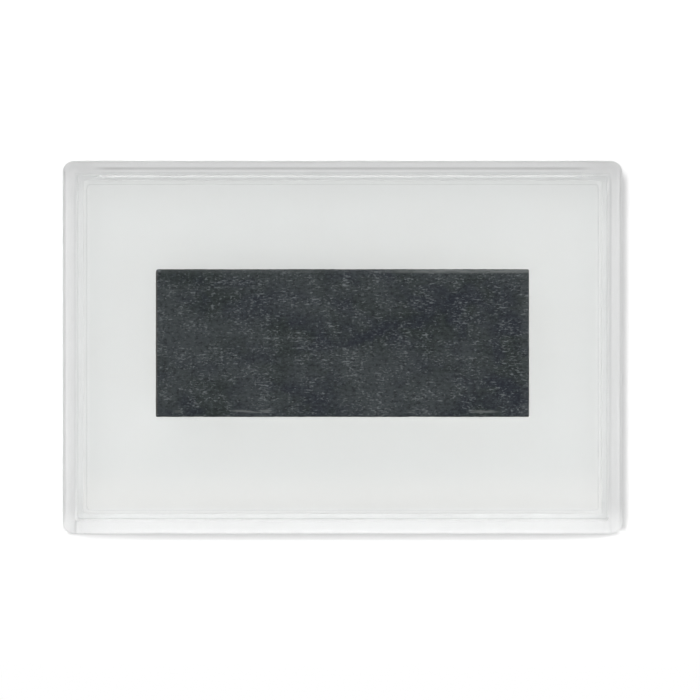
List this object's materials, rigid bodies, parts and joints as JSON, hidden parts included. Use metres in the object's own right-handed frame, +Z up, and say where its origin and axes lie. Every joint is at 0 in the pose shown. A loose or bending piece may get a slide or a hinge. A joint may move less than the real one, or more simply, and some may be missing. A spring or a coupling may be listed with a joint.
{
  "type": "magnetic photo frame",
  "caption": "Clear snap-together photo frame: a thick-windowed shell, a push-in back tray with a flat magnet strip, and a blank photo card held between them.",
  "frame": {"origin": "on the magnet's outer face, in line with the middle of the frame's width and height", "axes": "+Z up, +X along the frame's long side, +Y out of the back through the magnet, so the window faces -Y"},
  "size_m": [0.075, 0.0083, 0.05],
  "materials": {
    "clear_shell": "polished",
    "clear_tray": "polished",
    "photo_card": "matte",
    "flexible_magnet": "matte",
    "adhesive_film": "satin"
  },
  "bodies": {
    "shell": {"front_shell": "clear_shell"},
    "back": {"back_tray": "clear_tray", "magnet": "flexible_magnet", "magnet_adhesive": "adhesive_film"},
    "card": {"photo_insert": "photo_card"}
  },
  "joints": [
    {"name": "tray_slide", "type": "slide", "parent": "shell", "child": "back", "axis": [0, 1, 0], "range_m": [0, 0.016]},
    {"name": "insert_slide", "type": "slide", "parent": "shell", "child": "card", "axis": [0, 1, 0], "range_m": [0, 0.008]}
  ],
  "couplings": [
    {"joint": "insert_slide", "follows": "tray_slide", "ratio": 0.5}
  ]
}
